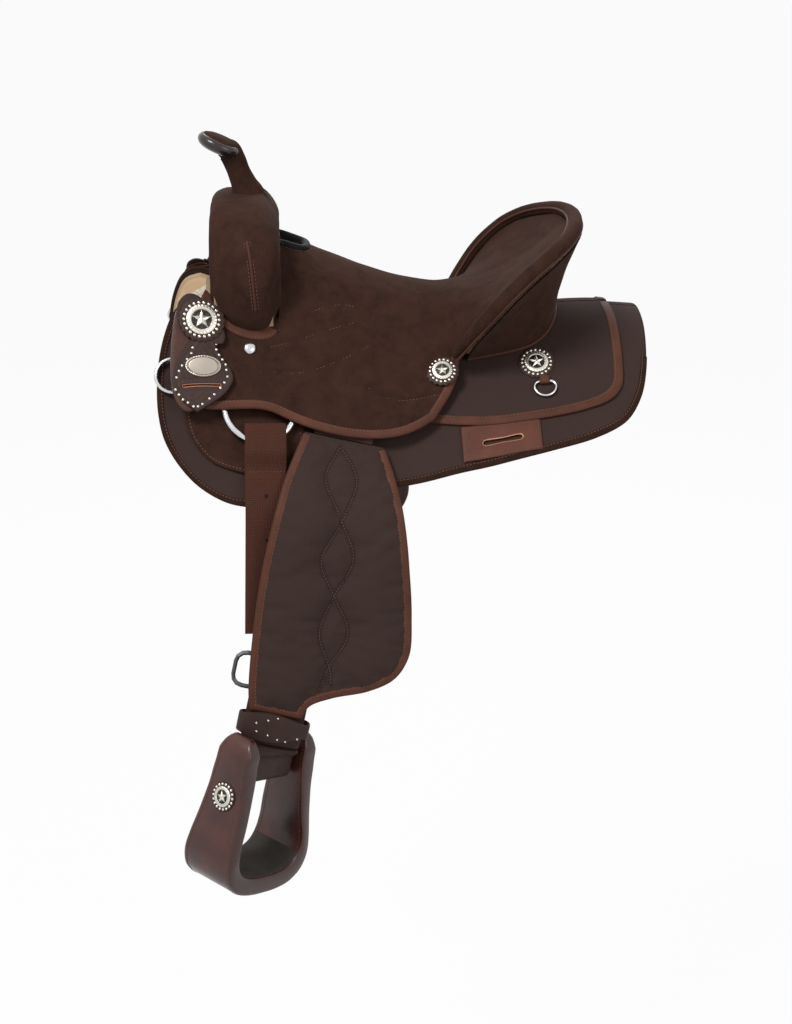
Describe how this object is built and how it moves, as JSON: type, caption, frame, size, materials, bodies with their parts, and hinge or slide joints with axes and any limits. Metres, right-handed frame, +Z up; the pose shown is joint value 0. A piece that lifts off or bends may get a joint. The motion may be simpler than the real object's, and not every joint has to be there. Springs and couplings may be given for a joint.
{
  "type": "western trail saddle",
  "caption": "Western trail saddle with suede seat and swell, woven nylon skirts, quilted fenders, leather stirrups and silver conchos.",
  "frame": {"origin": "on the horse's spine line at the underside of the fleece, about midway between fork and cantle", "axes": "+X towards the horse's tail, +Z up; the near (left) side of the saddle is at -Y"},
  "size_m": [0.5948, 0.7627, 0.8606],
  "materials": {
    "cordura": "matt woven nylon",
    "fleece": "woolly pile",
    "suede": "napped suede",
    "foam": "open felt and foam",
    "leather": "smooth oiled leather",
    "dark_leather": "smooth dark leather",
    "tan_leather": "natural undyed leather",
    "tree_wood": "sealed wood",
    "webbing": "ribbed nylon webbing",
    "silver": "antiqued nickel silver",
    "steel": "bright nickel plate",
    "dark_steel": "dark oxide",
    "stirrup_leather": "semi-gloss leather cover"
  },
  "bodies": {
    "saddle": {"cantle_back_cover": "dark_leather", "cantle_roll": "suede", "concho_front_near": "silver", "concho_front_off": "silver", "concho_rear_near": "silver", "concho_rear_off": "silver", "concho_seat_near": "silver", "concho_seat_off": "silver", "fleece": "fleece", "front_jockey_near": "leather", "front_jockey_off": "leather", "front_keeper_near": "dark_leather", "front_keeper_off": "dark_leather", "ground_seat": "leather", "gullet_lining": "tan_leather", "horn_cap": "dark_leather", "horn_neck": "suede", "name_plate_near": "silver", "name_plate_off": "silver", "rear_jockey_near": "cordura", "rear_jockey_off": "cordura", "rear_rig_patch_near": "leather", "rear_rig_patch_off": "leather", "rigging_panel_near": "suede", "rigging_panel_off": "suede", "rigging_ring_near": "steel", "rigging_ring_off": "steel", "seat_cover": "suede", "seat_foam": "foam", "seat_screw_near": "steel", "seat_screw_off": "steel", "skirt_near": "cordura", "skirt_off": "cordura", "swell_cover": "suede", "tree_bar_near": "tree_wood", "tree_bar_off": "tree_wood", "tree_cantle": "tree_wood", "tree_fork": "tree_wood"},
    "near_leather": {"stirrup_leather_upper_near": "leather"},
    "near_fender": {"fender_near": "cordura", "stirrup_leather_lower_near": "leather", "stirrup_buckle_near": "dark_steel", "hobble_strap_near": "dark_leather"},
    "near_stirrup": {"stirrup_near": "stirrup_leather", "stirrup_bolt_near": "dark_steel", "stirrup_concho_near": "silver"},
    "near_strap": {"latigo_near": "webbing"},
    "near_front_dee": {"front_dee_near": "steel"},
    "near_rear_dee": {"rear_dee_near": "steel"},
    "off_leather": {"stirrup_leather_upper_off": "leather"},
    "off_fender": {"fender_off": "cordura", "stirrup_leather_lower_off": "leather", "stirrup_buckle_off": "dark_steel", "hobble_strap_off": "dark_leather"},
    "off_stirrup": {"stirrup_off": "stirrup_leather", "stirrup_bolt_off": "dark_steel", "stirrup_concho_off": "silver"},
    "off_strap": {"billet_off": "webbing"},
    "off_front_dee": {"front_dee_off": "steel"},
    "off_rear_dee": {"rear_dee_off": "steel"}
  },
  "joints": [
    {"name": "near_leather_swing", "type": "hinge", "parent": "saddle", "child": "near_leather", "pos_m": [-0.05776, -0.11462, -0.01811], "axis": [0.1038, -0.7649, 0.6357], "range_deg": [0, 12]},
    {"name": "near_fender_lift", "type": "hinge", "parent": "near_leather", "child": "near_fender", "pos_m": [-0.07335, -0.17238, -0.07405], "axis": [-0.9743, 0.0503, 0.2196], "range_deg": [0, 50]},
    {"name": "near_stirrup_tilt", "type": "hinge", "parent": "near_fender", "child": "near_stirrup", "pos_m": [-0.17639, -0.28539, -0.44163], "axis": [0.6594, 0.6972, -0.2811], "range_deg": [-50, 50]},
    {"name": "near_strap_swing", "type": "hinge", "parent": "saddle", "child": "near_strap", "pos_m": [-0.17, -0.15666, -0.0395], "axis": [0.1037, -0.787, 0.6081], "range_deg": [-15, 0]},
    {"name": "near_front_dee_lift", "type": "hinge", "parent": "saddle", "child": "near_front_dee", "pos_m": [-0.264, -0.13939, -0.00736], "axis": [0, 0.5089, 0.8609], "range_deg": [0, 55]},
    {"name": "near_rear_dee_lift", "type": "hinge", "parent": "saddle", "child": "near_rear_dee", "pos_m": [0.169, -0.12502, -0.02477], "axis": [-0.998, 0.0413, -0.0469], "range_deg": [0, 100]},
    {"name": "off_leather_swing", "type": "hinge", "parent": "saddle", "child": "off_leather", "pos_m": [-0.05776, 0.11462, -0.01811], "axis": [-0.1038, -0.7649, -0.6357], "range_deg": [-6, 4.5]},
    {"name": "off_fender_lift", "type": "hinge", "parent": "off_leather", "child": "off_fender", "pos_m": [-0.06354, 0.17249, -0.07578], "axis": [0.9914, -0.0284, -0.1277], "range_deg": [0, 50]},
    {"name": "off_stirrup_tilt", "type": "hinge", "parent": "off_fender", "child": "off_stirrup", "pos_m": [-0.12291, 0.28709, -0.45241], "axis": [-0.292, 0.9345, 0.2034], "range_deg": [-50, 50]},
    {"name": "off_strap_swing", "type": "hinge", "parent": "saddle", "child": "off_strap", "pos_m": [-0.17, 0.15666, -0.0395], "axis": [-0.1037, -0.787, -0.6081], "range_deg": [-15, 4]},
    {"name": "off_front_dee_lift", "type": "hinge", "parent": "saddle", "child": "off_front_dee", "pos_m": [-0.264, 0.13939, -0.00736], "axis": [0, 0.5089, -0.8609], "range_deg": [0, 55]},
    {"name": "off_rear_dee_lift", "type": "hinge", "parent": "saddle", "child": "off_rear_dee", "pos_m": [0.169, 0.12502, -0.02477], "axis": [0.998, 0.0413, 0.0469], "range_deg": [0, 100]}
  ]
}
